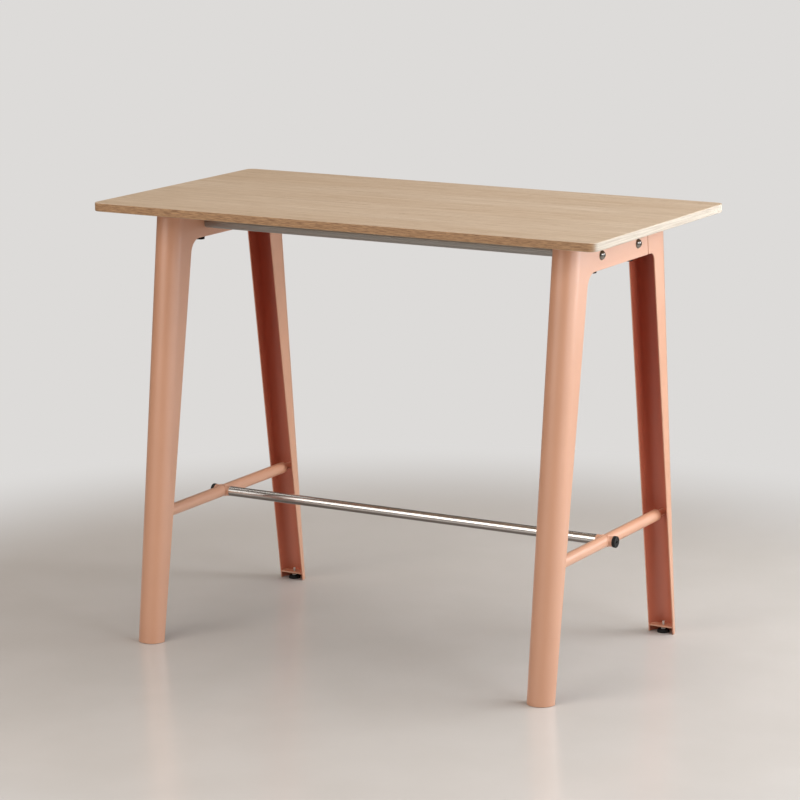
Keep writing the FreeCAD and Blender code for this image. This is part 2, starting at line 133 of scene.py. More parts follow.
for lamp_name, lamp in LAMPS.items():
    add_lamp(lamp_name, **lamp)
print("lamps", list(LAMPS))

# %% [markdown]
# ## Writing shaders as sums
# A finish is a small network of nodes. Drawing it by hand is slow to read back, so a socket is
# wrapped in a class whose +, -, * and / add Math nodes. Colours never go through those, because a
# Math node keeps only one number: they are blended by a Mix node.

# %% The socket that does arithmetic
class Wire:
    """The output of a node. Arithmetic on it adds Math nodes to the same network."""

    def __init__(self, network, socket):
        self.network = network
        self.socket = socket

    def math(self, operation, *values):
        """One Math node, with this output as its first value."""
        return self.network.node("ShaderNodeMath", {"operation": operation},
                                 dict(enumerate((self, *values))))

    def __add__(self, other):
        return self.math("ADD", other)

    __radd__ = __add__

    def __mul__(self, other):
        return self.math("MULTIPLY", other)

    __rmul__ = __mul__

    def __sub__(self, other):
        return self.math("SUBTRACT", other)

    def __rsub__(self, other):
        return self * -1.0 + other

    def __truediv__(self, other):
        return self.math("DIVIDE", other)

    def step(self, low, high):
        """0 up to low, 1 from high on, and an eased rise between them."""
        return self.network.node("ShaderNodeMapRange", {"interpolation_type": "SMOOTHSTEP"},
                                 {"Value": self, "From Min": low, "From Max": high})


# %% The network that makes nodes
class Network:
    """The nodes of a material or of the sky. Most values are fed to its main node."""

    def __init__(self, owner, main):
        owner.use_nodes = True
        self.tree = owner.node_tree
        self.main = self.tree.nodes[main]

    def feed(self, socket, value, node=None):
        """Give a socket a constant, or link an output to it."""
        target = (node or self.main).inputs[socket]
        if isinstance(value, Wire):
            self.tree.links.new(value.socket, target)
        else:
            target.default_value = value

    def node(self, kind, settings=None, inputs=None, out=0):
        """Any node: its settings first, then its inputs. Gives one of its outputs."""
        made = self.tree.nodes.new(kind)
        for name, value in (settings or {}).items():
            setattr(made, name, value)
        for socket, value in (inputs or {}).items():
            self.feed(socket, value, made)
        return Wire(self, made.outputs[out])

    def split(self, vector):
        """The X, Y and Z of a vector, as three values."""
        parts = self.node("ShaderNodeSeparateXYZ", None, {0: vector})
        return [Wire(self, output) for output in parts.socket.node.outputs]

    def ray(self, kind):
        """1 for rays of one kind, such as Is Camera Ray or Is Glossy Ray, and 0 for others."""
        return self.node("ShaderNodeLightPath", out=kind)

    def blend(self, factor, first, second):
        """A blend of two shaders."""
        return self.node("ShaderNodeMixShader", None, {0: factor, 1: first, 2: second})


# %% The finish of a surface
EDGE_TURN = 0.25                 # how far softened light has turned where an edge counts in full


class Finish(Network):
    """A material. Values given by name are set on the shader's own sockets."""

    def __init__(self, name, **values):
        self.material = bpy.data.materials.new(name)
        super().__init__(self.material, "Principled BSDF")
        for socket, value in values.items():
            self.feed(socket.replace("_", " "), value)

    def place(self):
        """A point's own place on the table, in metres."""
        return self.node("ShaderNodeTexCoord", out="Object")

    def facing(self):
        """The direction that the surface looks in at a point."""
        return self.node("ShaderNodeNewGeometry", out="Normal")

    def noise(self, scale, detail=2.0, roughness=0.5):
        """Soft noise between 0 and 1, with so many waves to a metre along X, Y and Z."""
        stretched = self.node("ShaderNodeMapping", None, {"Vector": self.place(), "Scale": scale})
        return self.node("ShaderNodeTexNoise", None, {
            "Vector": stretched, "Scale": 1.0, "Detail": detail, "Roughness": roughness})

    def mix(self, factor, first, second):
        """A blend of two colours."""
        return self.node("ShaderNodeMix", {"data_type": "RGBA"},
                         {0: factor, 6: first, 7: second}, out=2)

    def bump(self, height, distance, edge_radius=0.0):
        """Relief of a height from 0 to 1 times a distance, over softened edges."""
        inputs = {"Height": height, "Distance": distance}
        if edge_radius:
            inputs["Normal"] = self.node("ShaderNodeBevel", None, {"Radius": edge_radius})
        self.feed("Normal", self.node("ShaderNodeBump", None, inputs))

    def edges(self, radius):
        """1 along the sharp edges of a piece, fading to 0 at a radius from them."""
        softened = self.node("ShaderNodeBevel", None, {"Radius": radius})
        match = self.node("ShaderNodeVectorMath", {"operation": "DOT_PRODUCT"},
                          {0: softened, 1: self.facing()}, out="Value")
        return (1.0 - match).step(0.0, EDGE_TURN)


def colour(red, green, blue):
    """A colour from its values on a screen, 0 to 255, as light."""
    shares = np.array([red, green, blue]) / 255.0
    light = np.where(shares > 0.04045, ((shares + 0.055) / 1.055) ** 2.4, shares / 12.92)
    return (*[float(value) for value in light], 1.0)


# %% [markdown]
# ## The sky
# All round the table is a pale room. Straight rays see its bright wall behind the table. Mirrored rays
# mostly meet the shaded side of the room, so for them the sky is darker, and the polished tube and the
# sheen of the paint get their depth from it. The rays that light the table find the sky far weaker
# still, because the lamps already give the light of that room.

# %% Sky
WALL_COLOUR = colour(221, 219, 217)
ROOM_COLOUR = colour(106, 101, 96)
SKY_COLOUR = colour(255, 244, 234)
SKY_STRENGTH = 0.01

bpy.context.scene.world = bpy.data.worlds.new("sky")
sky = Network(bpy.context.scene.world, "World Output")
sky_light = sky.node("ShaderNodeBackground", None, {"Color": SKY_COLOUR, "Strength": SKY_STRENGTH})
sky_room = sky.node("ShaderNodeBackground", None, {"Color": ROOM_COLOUR})
sky_wall = sky.node("ShaderNodeBackground", None, {"Color": WALL_COLOUR})
unseen = sky.blend(sky.ray("Is Glossy Ray"), sky_light, sky_room)
sky.feed("Surface", sky.blend(sky.ray("Is Camera Ray"), unseen, sky_wall))
print("sky strength", SKY_STRENGTH)

# %% [markdown]
# ## Oak
# The board is oak under a clear matt lacquer, its grain along the length. Wood is a solid pattern: the
# same rings and pores show as long streaks on the top and as short marks on the end. So the pattern
# is worked out from the place in the board, drawn out along X, and not laid on as a picture. The
# growth rings are circles about a line far under the board, bent a little by slow noise.
#
# Thin oak strips cover the edges of the board. Their grain runs round it, in fine level lines. The
# strips of the long sides are coloured browner and those of the ends paler, partly a difference in the
# wood and partly painted shade on the long sides and painted light on the ends. Which strip a point is
# on shows in the direction its face looks in, so no separate pieces are needed.

# %% Oak finish
RING_SPACING = 0.0045
RING_WANDER = 0.05
PITH_DEPTH = 0.22
PITH_Y = -0.07
PORE_DEPTH = 0.00025
PALE_OAK, BROWN_OAK = colour(203, 182, 160), colour(190, 165, 139)
STREAK_OAK, LATE_OAK = colour(162, 134, 104), colour(144, 113, 83)
FIBRE_OAK, FLECK_OAK, PORE_OAK = colour(214, 197, 173), colour(150, 116, 84), colour(107, 78, 52)
LIT_END_STRIP, SHADED_LONG_STRIP, STRIP_LINE = colour(212, 199, 182), colour(194, 154, 116), colour(124, 88, 60)


def oak_finish():
    """Rings, streaks and pores: r = distance from the pith, and dark late wood once a ring."""
    oak = Finish("oak", Specular_IOR_Level=0.32)
    _, place_y, place_z = oak.split(oak.place())
    y, z = place_y - PITH_Y, place_z - (solid_high.z - PITH_DEPTH)
    wander = oak.noise((0.9, 7.0, 7.0), detail=3.0)
    distance = (y * y + z * z).math("SQRT") + wander * RING_WANDER
    ring = (distance / RING_SPACING).math("FRACT")
    late_wood = ring.step(0.35, 1.0) * 0.8 + oak.noise((2.4, 60.0, 60.0)) * 0.2
    streaks = oak.noise((4.0, 120.0, 120.0), detail=5.0, roughness=0.62)
    fibres = oak.noise((26.0, 900.0, 900.0), detail=3.0)
    tone = oak.noise((0.5, 4.0, 4.0), detail=2.0)
    flecks = oak.noise((15.0, 170.0, 170.0), detail=5.0, roughness=0.72).step(0.54, 0.70)
    pores = oak.noise((34.0, 1300.0, 1300.0), detail=1.0).step(0.60, 0.72)
    porous = pores * oak.noise((2.0, 40.0, 40.0)).step(0.35, 0.6)
    _, facing_y, facing_z = oak.split(oak.facing())
    on_strip = 1.0 - facing_z.math("ABSOLUTE").step(0.35, 0.8)
    on_long_strip = on_strip * facing_y.math("ABSOLUTE").step(0.3, 0.9)
    layers = oak.noise((42.0, 6.0, 800.0), detail=5.0, roughness=0.68)

    body = oak.mix(tone.step(0.3, 0.7), PALE_OAK, BROWN_OAK)
    grained = oak.mix(streaks.step(0.34, 0.68) * 0.62, body, STREAK_OAK)
    ringed = oak.mix(late_wood * 0.26, grained, LATE_OAK)
    fibred = oak.mix(fibres.step(0.3, 0.75) * 0.3, ringed, FIBRE_OAK)
    flecked = oak.mix(flecks * 0.38, fibred, FLECK_OAK)
    board = oak.mix(porous * 0.55, flecked, PORE_OAK)
    # Painted light and shade: the end strips are paler and the long-side strips browner.
    strip = oak.mix(on_long_strip, LIT_END_STRIP, SHADED_LONG_STRIP)
    lined = oak.mix(layers.step(0.42, 0.62) * (0.36 + 0.44 * on_long_strip), strip, STRIP_LINE)
    oak.feed("Base Color", oak.mix(on_strip, board, lined))
    oak.feed("Roughness", 0.46 + 0.12 * streaks)
    oak.bump(1.0 - porous * 0.8 - streaks * 0.2, PORE_DEPTH)
    return oak.material


# %% [markdown]
# ## Powder coat
# The legs are sprayed with dry powder that melts into a satin skin. It is never quite flat: it keeps
# a fine dimple like the peel of an orange, about a millimetre across. The cut edges of the sheet are
# rounded by the paint, and there the colour is made a little paler, a painted highlight where the
# edges catch the light. Edges could be beveled in the mesh, but the solids stay as they are, so a
# Bevel node rounds only the light on them.
#
# Inside a folded leg the colour is blended towards a darker red, which is painted shade, and the coat
# is weakened there so that it shines less.
# That inside is found by a formula. In the round nose it is the distance from the line down the nose's
# middle that tells, and between the flat walls the distance from the plane midway between them. Both
# are smaller inside than outside, by the thickness of the sheet.

# %% Powder coat finish
COAT_EDGE_RADIUS = 0.0009
DIMPLE_DEPTH = 0.00012
SKIN_TONES = (colour(222, 162, 127), colour(217, 157, 122))
EDGE_HIGHLIGHT_TONE = colour(232, 178, 146)
FOLD_SHADE_TONE = colour(199, 103, 78)


def powder_finish(name, pale, deep, inside=None):
    """Satin paint with a dimpled skin, paler on its edges as a painted highlight, and perhaps painted
    shade inside the fold.
    """
    paint = Finish(name, Coat_Weight=1.0, Coat_IOR=1.8, Coat_Roughness=0.45)
    edge = paint.edges(COAT_EDGE_RADIUS)
    tone = paint.noise((5.0, 5.0, 5.0), detail=3.0)
    coat = paint.mix(tone.step(0.3, 0.7), pale, deep)
    # Painted shade: inside the fold the colour goes towards a darker red and the coat is weakened.
    if inside:
        fold_shade = inside(paint)
        coat = paint.mix(fold_shade, coat, FOLD_SHADE_TONE)
        paint.feed("Coat Weight", 1.0 - 0.8 * fold_shade)
    # Painted highlight: the edges are blended towards a paler tone.
    paint.feed("Base Color", paint.mix(edge * 0.35, coat, EDGE_HIGHLIGHT_TONE))
    dimples = paint.noise((850.0, 850.0, 850.0), detail=2.0, roughness=0.55)
    dust = paint.noise((3200.0, 3200.0, 3200.0), detail=1.0)
    paint.feed("Roughness", 0.40 + 0.10 * dust - 0.05 * edge)
    paint.bump(dimples * 0.8 + dust * 0.2, DIMPLE_DEPTH, COAT_EDGE_RADIUS)
    return paint.material


# %% The inside of a folded leg
SHEET = 0.003
LEVEL_BAND = 0.0005
leg_low, leg_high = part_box("right_rear_leg")
leg_middle = (leg_low.x + leg_high.x) / 2
leg_half_width = (leg_high.x - leg_low.x) / 2


def points_of(mesh):
    """The vertices of a mesh, as rows of x, y and z."""
    values = np.empty(3 * len(mesh.vertices), np.float32)
    mesh.vertices.foreach_get("co", values)
    return values.reshape(-1, 3).astype(float)


def outermost_at(points, height):
    """The largest y among the points at a height."""
    return points[np.abs(points[:, 2] - height) < LEVEL_BAND, 1].max()


leg_points = points_of(frame["nodes"]["right_rear_leg"].data)
foot_reach, head_reach = [outermost_at(leg_points, height) for height in (leg_low.z, leg_high.z)]
nose_lean = (foot_reach - head_reach) / (leg_high.z - leg_low.z)
nose_at_floor = foot_reach - leg_half_width + nose_lean * leg_low.z
print("the noses lean in by", round(nose_lean * 1000, 1), "mm a metre")


def painted_fold_shade(paint):
    """1 inside the fold: r = hypot(|x| - middle, |y| - nose) past the nose's line, |x| - middle before."""
    x, y, z = paint.split(paint.place())
    across = x.math("ABSOLUTE") - leg_middle
    past = (y.math("ABSOLUTE") + z * nose_lean - nose_at_floor).math("MAXIMUM", 0.0)
    reach = (across * across + past * past).math("SQRT")
    within = 1.0 - reach.step(leg_half_width - SHEET, leg_half_width - SHEET / 3)
    # The painted shade is at three quarters at the floor and in full from 0.9 m up, under the board.
    return within * (z.step(0.0, 0.9) * 0.25 + 0.75)


# %% [markdown]
# ## Bright metals
# The bright finishes differ in how they were worked. The foot rail is drawn tube polished along its
# length, so fine lines run along it, and its underside is coloured darker, a painted shade and painted
# dark reflection of the shaded floor below it. The rails under the board are satin grey tube, and
# their bolts have a dark polished plate. The studs of the feet, and the plugs, sleeves and inserts that
# stay out of sight, have a thin pale zinc plate with faint cloudy crystals.

# %% Metal finishes
METAL_EDGE_RADIUS = 0.0004
ZINC_EDGE_RADIUS = 0.0003
ZINC_RELIEF = 0.00003
PALE_ZINC, GREY_ZINC = colour(240, 237, 229), colour(222, 220, 214)


def drawn_metal_finish(name, tint, roughness, lines, underside_shade=None):
    """Metal with fine lines along X: noise hundreds of times longer than it is wide."""
    metal = Finish(name, Base_Color=tint, Metallic=1.0)
    if underside_shade:
        # Painted shade: faces turned downwards get the darker colour.
        upward = metal.split(metal.facing())[2]
        metal.feed("Base Color", metal.mix(upward.step(-0.45, 0.1), underside_shade, tint))
    scratches = metal.noise((3.0, 2600.0, 2600.0), detail=3.0)
    clouds = metal.noise((9.0, 30.0, 30.0))
    metal.feed("Roughness", roughness + lines * scratches + 0.06 * clouds)
    metal.bump(scratches, 0.00002 + 0.00006 * lines, METAL_EDGE_RADIUS)
    return metal.material


def zinc_finish():
    """Bright plate with cloudy crystals of a few millimetres."""
    zinc = Finish("zinc plate", Metallic=0.25)
    clouds = zinc.noise((240.0, 240.0, 240.0), detail=3.0)
    zinc.feed("Base Color", zinc.mix(clouds, PALE_ZINC, GREY_ZINC))
    zinc.feed("Roughness", 0.22 + 0.2 * clouds)
    zinc.bump(zinc.noise((2400.0, 2400.0, 2400.0)), ZINC_RELIEF, ZINC_EDGE_RADIUS)
    return zinc.material


# %% [markdown]
# ## Black pieces
# The screws under the crosspieces are black-oxide steel, with an oily half-gloss. The feet and the
# caps of the foot rail are moulded: matt, with the fine even grain that a spark-eroded mould leaves.

# %% Black finishes
WEAR_RADIUS = 0.0006
WEAR_TONE = colour(66, 63, 60)
SPECKLE_LIFT = np.array([8, 8, 9])


def black_finish(name, shade, metallic, roughness, grain, relief):
    """A black surface with an even grain: so many grains to a metre, of a relief in metres."""
    black = Finish(name, Metallic=metallic, Specular_IOR_Level=0.3)
    speckle = black.noise((grain, grain, grain), detail=2.0)
    wear = black.edges(WEAR_RADIUS)
    body = black.mix(speckle, colour(shade, shade, shade), colour(*(shade + SPECKLE_LIFT)))
    black.feed("Base Color", black.mix(wear * 0.3, body, WEAR_TONE))
    black.feed("Roughness", roughness + 0.16 * speckle)
    black.bump(speckle, relief, METAL_EDGE_RADIUS)
    return black.material


# %% [markdown]
# ## A finish for every solid
# The record names a slot for each solid, such as oak or zinc_steel, and each slot gets one finish. The
# folded legs alone have a finish apart from their slot's, because the painted shade inside them is
# worked out from their shape.

# %% Finishes on the solids
finishes = {
    "oak": oak_finish(),
    "leg_paint": powder_finish("powder coat", *SKIN_TONES),
    "rail_steel": drawn_metal_finish("satin steel", colour(160, 157, 153), roughness=0.38, lines=0.10),
    "foot_rail_chrome": drawn_metal_finish("polished tube", colour(218, 215, 212), roughness=0.13,
                                           lines=0.14, underside_shade=colour(132, 126, 122)),
    "polished_steel": drawn_metal_finish("polished steel", colour(132, 126, 120), roughness=0.10,
                                         lines=0.04),
    "zinc_steel": zinc_finish(),
    "black_steel": black_finish("black oxide", shade=26, metallic=0.5, roughness=0.30, grain=1800.0,
                                relief=0.00003),
    "black_plastic": black_finish("moulded black", shade=14, metallic=0.0, roughness=0.50, grain=2600.0,
                                  relief=0.00005),
    "black_plastic_cap": black_finish("moulded cap", shade=16, metallic=0.0, roughness=0.38,
                                      grain=3400.0, relief=0.00003),
}
slots = {row["node"]: row["material_slot"] for row in frame["record"]["subparts"]}
leg_finish = powder_finish("powder coat on a fold", *SKIN_TONES, painted_fold_shade)
for node_name, node in frame["nodes"].items():
    node.data.materials.clear()
    node.data.materials.append(leg_finish if node_name.endswith("_leg") else finishes[slots[node_name]])
print("finishes", len(finishes), "on", len(slots), "solids")

# %% [markdown]
# ## Surfaces from rings
# Every new piece is a stack of rings: a ring is a closed row of points, and quads join each ring to
# the next. A screw's head is such a stack about its axis, and a weld bead is one along its seam.
# Blender could spin or screw a profile, but with whole arrays the knurl, the socket and the thread are
# just a formula for the radius, and nothing needs to be merged afterwards.

# %% Rings to a mesh
CREASE = 35.0


def skin(rings, joined=False):
    """Vertices and faces over rings[k, n], a point n of ring k.

    Joined rings close into a loop. Otherwise a fan closes each end at its middle.
    """
    count, around = rings.shape[:2]
    index = np.arange(count * around).reshape(count, around)
    index = np.vstack([index, index[:1]]) if joined else index
    right = np.roll(index, -1, axis=1)
    quads = np.stack([index[:-1], right[:-1], right[1:], index[1:]], axis=-1).reshape(-1, 4)
    points = rings.reshape(-1, 3)
    faces = quads.tolist()
    if not joined:
        middles = rings[[0, -1]].mean(axis=1)
        first, last = len(points), len(points) + 1
        points = np.vstack([points, middles])
        ends = [(first, right[0], index[0]), (last, index[-1], right[-1])]
        for middle, a, b in ends:
            faces += np.stack([np.full(around, middle), a, b], axis=-1).tolist()
    return points, faces


def volume(points, faces):
    """Volume inside the faces, each taken as a fan: negative when they point inwards."""
    corners = [(face[0], face[k], face[k + 1]) for face in faces for k in range(1, len(face) - 1)]
    a, b, c = points[np.array(corners)].transpose(1, 0, 2)
    return float(np.einsum("ij,ij->i", a, np.cross(b, c)).sum() / 6)


def mesh_of(name, shells, crease=CREASE):
    """One mesh over several closed shells, smooth where faces meet at less than the crease."""
    points, faces, start = [], [], 0
    for shell_points, shell_faces in shells:
        step = 1 if volume(shell_points - shell_points.mean(axis=0), shell_faces) > 0 else -1
        faces += [[start + n for n in face[::step]] for face in shell_faces]
        points.append(shell_points)
        start += len(shell_points)
    mesh = bpy.data.meshes.new(name)
    mesh.from_pydata(np.vstack(points), [], faces)
    mesh.shade_smooth()
    mesh.set_sharp_from_angle(angle=math.radians(crease))
    return mesh


def add_piece(name, mesh, slot, body, stands_for=None):
    """A mesh on a body of the table, in the finish of a slot, perhaps in place of a solid."""
    piece = bpy.data.objects.new(name, mesh)
    bpy.context.scene.collection.objects.link(piece)
    mesh.materials.append(finishes[slot])
    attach(piece, body)
    if stands_for:
        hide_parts(stands_for)
    print(name, len(mesh.polygons), "faces")


# %% [markdown]
# ## Turned pieces
# Screws and feet are turned shapes: a profile of radius and height, carried round an axis. Two things
# break the circle. A knurl is a row of small teeth, a cosine round the rim. A hexagon socket has a
# radius that is the flat's distance over the cosine of the angle from the middle of that flat.

# %% Rings about an axis
AROUND = 192
SOCKET_LIP = 0.04                # chamfer round a socket, as a share of the socket's width
turn = np.linspace(0.0, 2.0 * np.pi, AROUND, endpoint=False)


def round_ring(radius, height, teeth=0, depth=0.0):
    """Ring of radius r - d (1 - cos(teeth * turn)) / 2."""
    radii = radius - depth * (1.0 - np.cos(teeth * turn)) / 2.0
    return np.stack([radii * np.cos(turn), radii * np.sin(turn), np.full(AROUND, height)], axis=-1)


def hexagon_ring(across_flats, height):
    """Ring of radius (w / 2) / cos(a), with a measured from the middle of each flat."""
    from_flat = (turn + np.pi / 6) % (np.pi / 3) - np.pi / 6
    radii = across_flats / 2.0 / np.cos(from_flat)
    return np.stack([radii * np.cos(turn), radii * np.sin(turn), np.full(AROUND, height)], axis=-1)


def arc(centre_radius, centre_height, radius, start, end, steps):
    """(radius, height) points on an arc of a profile, between two angles in degrees."""
    angles = np.radians(np.linspace(start, end, steps))
    return [(centre_radius + radius * math.cos(a), centre_height + radius * math.sin(a)) for a in angles]


def aimed(rings, seat, axis):
    """Rings about +Z, moved so that their origin is at the seat and +Z runs along an axis."""
    axis = np.array(axis, float)
    side = np.cross(axis, [0.0, 1.0, 0.0])
    side /= np.linalg.norm(side)
    frame_axes = np.stack([side, np.cross(axis, side), axis])
    return rings @ frame_axes + np.array(seat, float)


def socket_screw(face_profile, socket, socket_depth, shank_radius, shank_length, teeth=0, depth=0.0):
    """Rings of a screw on +Z: from the bottom of its socket, over the face and the side, to its tip.

    The profile runs from the middle of the face outwards and down to the seat at height 0.
    """
    top = max(height for _, height in face_profile)
    lip = socket * SOCKET_LIP
    rings = [hexagon_ring(socket, top - socket_depth), hexagon_ring(socket, top - lip),
             hexagon_ring(socket + 2 * lip, top)]
    for radius, height in face_profile:
        toothed = depth <= height <= top - depth
        rings.append(round_ring(radius, height, teeth, depth if toothed else 0.0))
    rings += [round_ring(shank_radius, 0.0), round_ring(shank_radius, -shank_length)]
    return np.array(rings)


# %% [markdown]
# ## Bolts under the crosspieces
# Four cap-head bolts come up through the crosspieces into the board. Their black heads are knurled, so
# that fingers can start them, and have a hexagon socket below. Their places come from the solid's own
# box: the heads stand at its four corners.

# %% Knurled cap heads
HEAD_RADIUS = 0.010
HEAD_HEIGHT = 0.013
HEAD_ROUND = 0.0015
HEAD_SEAT_EASE = 0.0004
HEAD_SIDE_END = 0.001
HEAD_TEETH = 48
HEAD_TOOTH_DEPTH = 0.0005
HEAD_SOCKET = 0.008
HEAD_SOCKET_DEPTH = 0.006
BOARD_BOLT_RADIUS = 0.005


def corners_of(node_name, inset):
    """The four places at an inset from the corners of a solid's box, seen from above."""
    low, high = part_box(node_name)
    return [(x, y) for x in (low.x + inset, high.x - inset) for y in (low.y + inset, high.y - inset)]


def cap_head_profile():
    """Flat face, rounded rim, straight knurled side."""
    rim = HEAD_RADIUS - HEAD_ROUND
    rows = [(rim * 0.8, HEAD_HEIGHT), *arc(rim, HEAD_HEIGHT - HEAD_ROUND, HEAD_ROUND, 90, 0, steps=7)]
    side = np.linspace(HEAD_HEIGHT - HEAD_ROUND, HEAD_SIDE_END, 6)[1:]
    return rows + [(HEAD_RADIUS, height) for height in side] + [(HEAD_RADIUS - HEAD_SEAT_EASE, 0.0)]


bolt_low, bolt_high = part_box("top_bolts")
seat_z = bolt_low.z + HEAD_HEIGHT
bolt = socket_screw(cap_head_profile(), HEAD_SOCKET, HEAD_SOCKET_DEPTH, BOARD_BOLT_RADIUS,
                    bolt_high.z - seat_z, HEAD_TEETH, HEAD_TOOTH_DEPTH)
bolt_shells = [skin(aimed(bolt, (x, y, seat_z), (0, 0, -1)))
               for x, y in corners_of("top_bolts", HEAD_RADIUS)]
add_piece("knurled_board_bolts", mesh_of("knurled_board_bolts", bolt_shells), "black_steel", "table",
          "top_bolts")

# %% [markdown]
# ## Domed bolts of the rails
# Each rail is held by a polished bolt through the crosspiece, whose head is a low dome. The dome is
# part of a sphere on a short skirt: with a base radius b and a rise h over the skirt, the sphere's
# radius is (b b + h h) / 2h.

# %% Domed heads
DOME_HEIGHT = 0.009
DOME_SKIRT = 0.0012
DOME_CROWN = 0.66                # radius of the flat crown, as a share of the socket's width
DOME_SOCKET = 0.006
DOME_SOCKET_DEPTH = 0.004
RAIL_BOLT_RADIUS = 0.005
RAIL_BOLT_LENGTH = 0.086


def dome_profile(base, height, skirt):
    """Arc of the sphere from near the crown to the skirt, then the skirt down to the seat."""
    rise = height - skirt
    radius = (base ** 2 + rise ** 2) / (2 * rise)
    widest = math.degrees(math.asin(base / radius))
    start = math.degrees(math.asin(DOME_SOCKET * DOME_CROWN / radius))
    dome_arc = arc(0.0, height - radius, radius, 90 - start, 90 - widest, steps=22)
    return dome_arc + [(base, skirt / 2), (base, 0.0)]


rail_low, rail_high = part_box("rail_bolts")
rail_z = (rail_low.z + rail_high.z) / 2
dome_base = (rail_high.z - rail_low.z) / 2
dome = socket_screw(dome_profile(dome_base, DOME_HEIGHT, DOME_SKIRT), DOME_SOCKET, DOME_SOCKET_DEPTH,
                    RAIL_BOLT_RADIUS, RAIL_BOLT_LENGTH)
dome_shells = []
for side, crown in ((-1, rail_low.x), (1, rail_high.x)):
    for y in (rail_low.y + dome_base, rail_high.y - dome_base):
        dome_shells.append(skin(aimed(dome, (crown - side * DOME_HEIGHT, y, rail_z), (side, 0, 0))))
add_piece("domed_rail_bolts", mesh_of("domed_rail_bolts", dome_shells), "polished_steel", "table",
          "rail_bolts")

# %% [markdown]
# ## Caps of the foot rail
# A broad black cap holds each end of the foot rail against its boss. Its rims are rounded and its side
# has shallow flutes for grip, made as a knurl with few, wide teeth.

# %% Fluted caps
CAP_RADIUS = 0.0135
CAP_HEIGHT = 0.0085
CAP_ROUND = 0.0014
CAP_DISH = 0.0006
CAP_DISH_LIP = 0.0001
CAP_FLUTES = 24
CAP_FLUTE_DEPTH = 0.0005
CAP_SOCKET = 0.006
CAP_SOCKET_DEPTH = 0.004
CAP_SCREW_RADIUS = 0.004
CAP_SCREW_LENGTH = 0.058


def cap_profile():
    """A dished face, a rounded outer rim, the side and a rounded inner rim."""
    rim = CAP_RADIUS - CAP_ROUND
    face = [(rim * 0.55, CAP_HEIGHT - CAP_DISH), (rim * 0.82, CAP_HEIGHT - CAP_DISH),
            (rim * 0.90, CAP_HEIGHT - CAP_DISH_LIP)]
    outer = arc(rim, CAP_HEIGHT - CAP_ROUND, CAP_ROUND, 90, 0, steps=8)
    inner = arc(rim, CAP_ROUND, CAP_ROUND, 0, -90, steps=8)
    return face + outer + inner


screw_low, screw_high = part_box("foot_rail_screws")
screw_middle = (screw_low + screw_high) / 2
cap = socket_screw(cap_profile(), CAP_SOCKET, CAP_SOCKET_DEPTH, CAP_SCREW_RADIUS, CAP_SCREW_LENGTH,
                   CAP_FLUTES, CAP_FLUTE_DEPTH)
cap_shells = [skin(aimed(cap, (crown - side * CAP_HEIGHT, screw_middle.y, screw_middle.z), (side, 0, 0)))
              for side, crown in ((-1, screw_low.x), (1, screw_high.x))]
add_piece("fluted_caps", mesh_of("fluted_caps", cap_shells), "black_plastic_cap", "table",
          "foot_rail_screws")

# %% [markdown]
# ## Levelling feet
# A foot is a threaded stud whose disc turns inside a moulded pad. The thread is a true helix: the radius
# at a height z and a turn a follows the triangle wave of z / pitch - a / 360, so the ridge climbs one
# pitch a turn. The stud could be cut from a cylinder by a helical sweep, but sweeping a small ridge
# along a long helix leaves bad faces, and a formula on a grid does not. Only the screwdriver slot in
# its top end is cut by a Boolean, because its flat walls cross every ring.

# %% Threaded stud
STUD_RADIUS = 0.003
THREAD_PITCH = 0.001
THREAD_DEPTH = 0.00058
THREAD_GAIN = 1.35               # makes the crest of the triangle wave flat
THREAD_CUT = 0.2                 # makes its root flat
THREAD_CHAMFER = 0.0009
ROWS_PER_PITCH = 10
THREAD_AROUND = 48
COLLAR_WIDTH = 0.010
COLLAR_HEIGHT = 0.0026
COLLAR_CHAMFER = 0.0004
COLLAR_GAP = 0.0001
DISC_RADIUS = 0.0065
DISC_HEIGHT = 0.002
SLOT_WIDTH = 0.001
SLOT_DEPTH = 0.0015
SIDES = ("left", "right")
ENDS = {"front": -1, "rear": 1}


def threaded_rod(low, high):
    """Rings of a threaded rod: ridge = triangle wave of z / pitch - a / 2 pi, flat at crest and root."""
    heights = np.arange(low, high + 1e-9, THREAD_PITCH / ROWS_PER_PITCH)[:, None]
    angles = np.linspace(0.0, 2.0 * np.pi, THREAD_AROUND, endpoint=False)[None, :]
    wave = 1.0 - np.abs(2.0 * ((heights / THREAD_PITCH - angles / (2.0 * np.pi)) % 1.0) - 1.0)
    ridge = np.clip(THREAD_GAIN * wave - THREAD_CUT, 0.0, 1.0)
    from_end = np.minimum(high - heights, heights - low)
    chamfer = STUD_RADIUS - np.clip(THREAD_CHAMFER - from_end, 0.0, None)
    radii = np.minimum(STUD_RADIUS - THREAD_DEPTH * (1.0 - ridge), chamfer)
    return np.stack([radii * np.cos(angles), radii * np.sin(angles), heights + 0.0 * angles], axis=-1)


def collar_rings(low, height):
    """A hexagon collar whose corners are turned off above and below, as on a nut."""
    inner = round_ring(STUD_RADIUS * 0.8, low)
    lower = hexagon_ring(COLLAR_WIDTH, low + COLLAR_CHAMFER)
    upper = hexagon_ring(COLLAR_WIDTH, low + height - COLLAR_CHAMFER)
    round_low, round_high = [round_ring(COLLAR_WIDTH / 2, z) for z in (low, low + height)]
    return np.array([inner, round_low, lower, upper, round_high, inner + [0.0, 0.0, height]])


def box_shell(low, high):
    """A box between two corners, as a shell."""
    corners = np.array([[x, y, z] for z in (low[2], high[2]) for y in (low[1], high[1])
                        for x in (low[0], high[0])])
    faces = [[0, 2, 3, 1], [4, 5, 7, 6], [0, 1, 5, 4], [2, 6, 7, 3], [0, 4, 6, 2], [1, 3, 7, 5]]
    return corners, faces


